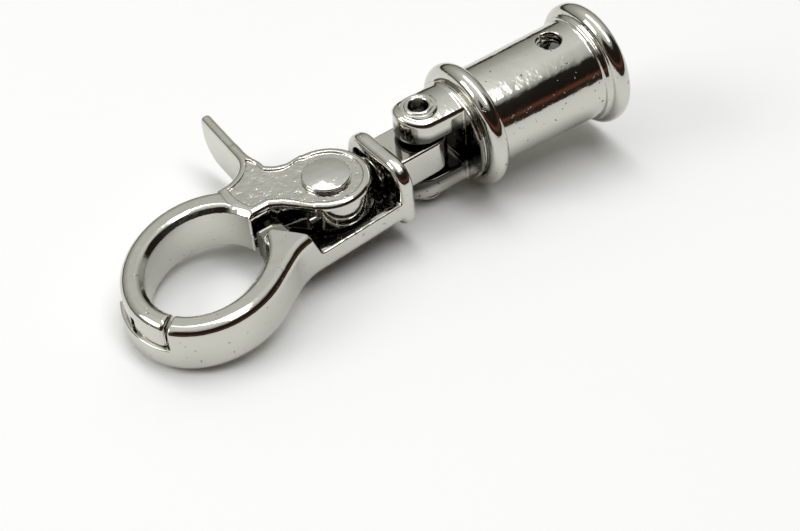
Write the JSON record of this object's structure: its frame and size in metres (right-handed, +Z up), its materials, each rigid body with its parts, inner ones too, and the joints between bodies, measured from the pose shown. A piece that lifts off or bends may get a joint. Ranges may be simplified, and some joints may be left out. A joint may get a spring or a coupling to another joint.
{
  "type": "lobster clasp cord end",
  "caption": "Trigger snap hook on a swivel, hinged by a clevis to a round cup that grips the end of a cord with a set screw.",
  "frame": {"origin": "centre of the cord bore at its mouth, where the mouth's chamfer ends; the clasp lies as it rests on a table", "axes": "+X towards the cord, close to the bore's axis, +Z up, +Y towards the side that the thumb tab stands out on"},
  "size_m": [0.0739, 0.0347, 0.0189],
  "materials": {
    "nickel_casting": "bright nickel plate on a zinc casting",
    "nickel_rivet": "bright nickel plate on steel",
    "spring_wire": "drawn spring wire"
  },
  "bodies": {
    "cup": {"clevis_cup": "nickel_casting", "clevis_pin": "nickel_rivet"},
    "tongue": {"swivel_tongue": "nickel_casting"},
    "hook": {"hook_body": "nickel_casting", "pivot_rivet": "nickel_rivet"},
    "trigger": {"trigger_lever": "nickel_casting", "torsion_spring": "spring_wire"}
  },
  "joints": [
    {"name": "clevis_hinge", "type": "hinge", "parent": "cup", "child": "tongue", "pos_m": [-0.02727, 0, -0.00271], "axis": [-0.0989, 0, 0.9951], "range_deg": [-60, 60]},
    {"name": "swivel", "type": "hinge", "parent": "tongue", "child": "hook", "pos_m": [-0.03462, -0.00031, -0.00344], "axis": [0.9942, 0.0417, 0.0989], "continuous": true},
    {"name": "trigger_pivot", "type": "hinge", "parent": "hook", "child": "trigger", "pos_m": [-0.04164, -0.0004, -0.00414], "axis": [0.0988, 0.0041, -0.9951], "range_deg": [0, 28], "stiffness_Nm_per_rad": 0.03, "springref_deg": -34.38, "deforming": ["torsion_spring"]}
  ]
}
